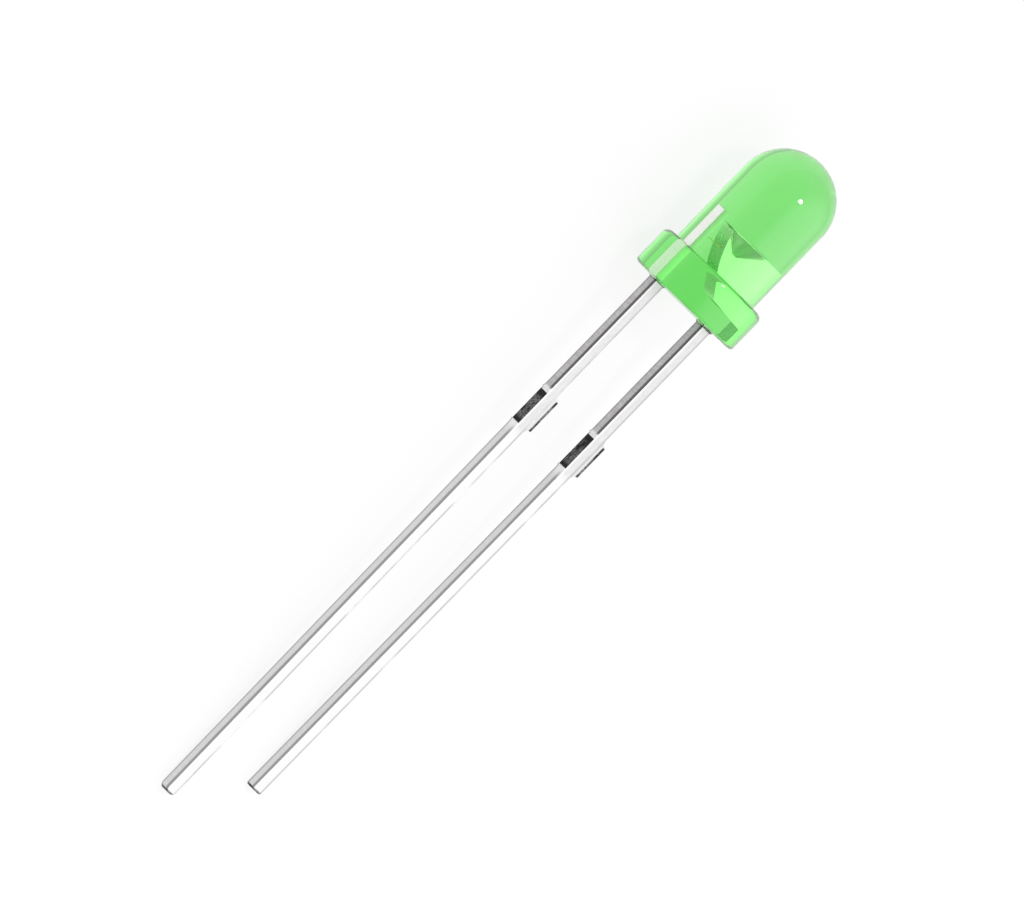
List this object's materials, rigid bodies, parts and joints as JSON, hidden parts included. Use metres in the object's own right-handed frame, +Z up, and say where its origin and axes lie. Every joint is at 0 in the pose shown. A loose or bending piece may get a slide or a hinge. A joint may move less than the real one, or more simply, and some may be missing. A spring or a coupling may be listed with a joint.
{
  "type": "through hole led",
  "caption": "Small round light-emitting diode: tinted clear epoxy dome with a flange, and straight square leads of unequal length for a circuit board.",
  "frame": {"origin": "middle of the bounding box's base, on the surface that the part lies on", "axes": "+X towards the lead tips and -X towards the dome; +Y towards the cathode and its flat; +Z up"},
  "size_m": [0.0256, 0.0036, 0.0038],
  "materials": {
    "epoxy": "polished green-tinted clear epoxy",
    "lead": "tin-plated steel sheet",
    "chip": "polished semiconductor",
    "silver": "silver-filled epoxy",
    "gold": "drawn gold wire"
  },
  "bodies": {
    "root": {"epoxy_lens": "epoxy", "anode_lead": "lead", "cathode_lead": "lead", "led_chip": "chip", "die_attach": "silver", "bond_wire": "gold"}
  },
  "joints": []
}
